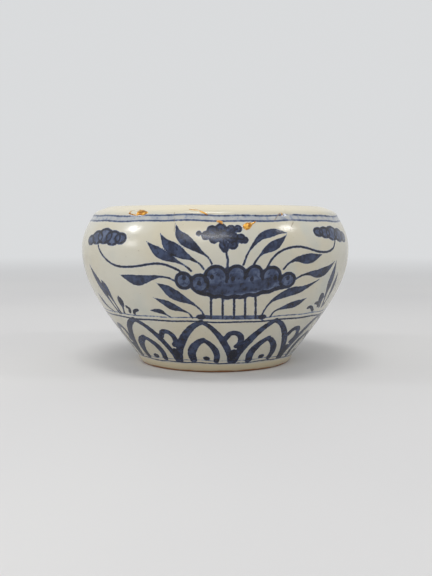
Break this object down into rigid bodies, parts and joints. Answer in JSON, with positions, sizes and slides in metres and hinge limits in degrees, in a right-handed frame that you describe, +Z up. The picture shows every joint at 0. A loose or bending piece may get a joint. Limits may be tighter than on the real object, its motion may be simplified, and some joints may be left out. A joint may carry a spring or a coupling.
{
  "type": "ceramic vase",
  "caption": "Low incurved vase of alms-bowl form with a broad mouth and foot ring, blue and white lotus pond decor, and a rim sherd refitted with gold lacquer.",
  "frame": {"origin": "centre of the foot ring, on the face it rests on", "axes": "+Z up along the turning axis; the front, with the refitted rim sherd and the main lotus cluster, faces -Y"},
  "size_m": [0.15, 0.15, 0.087],
  "materials": {
    "glazed_body": "glossy pale egg-shell glaze with cobalt blue painting under it",
    "gold_lacquer": "lacquer dusted with gold powder, softly metallic"
  },
  "bodies": {
    "root": {"vase_body": "glazed_body", "rim_sherd": "glazed_body", "gold_seam": "gold_lacquer", "gold_fill_rim_left": "gold_lacquer", "gold_fill_rim_front": "gold_lacquer", "gold_fill_seam_left": "gold_lacquer", "gold_fill_seam_right": "gold_lacquer", "gold_fill_rim_right": "gold_lacquer"}
  },
  "joints": []
}
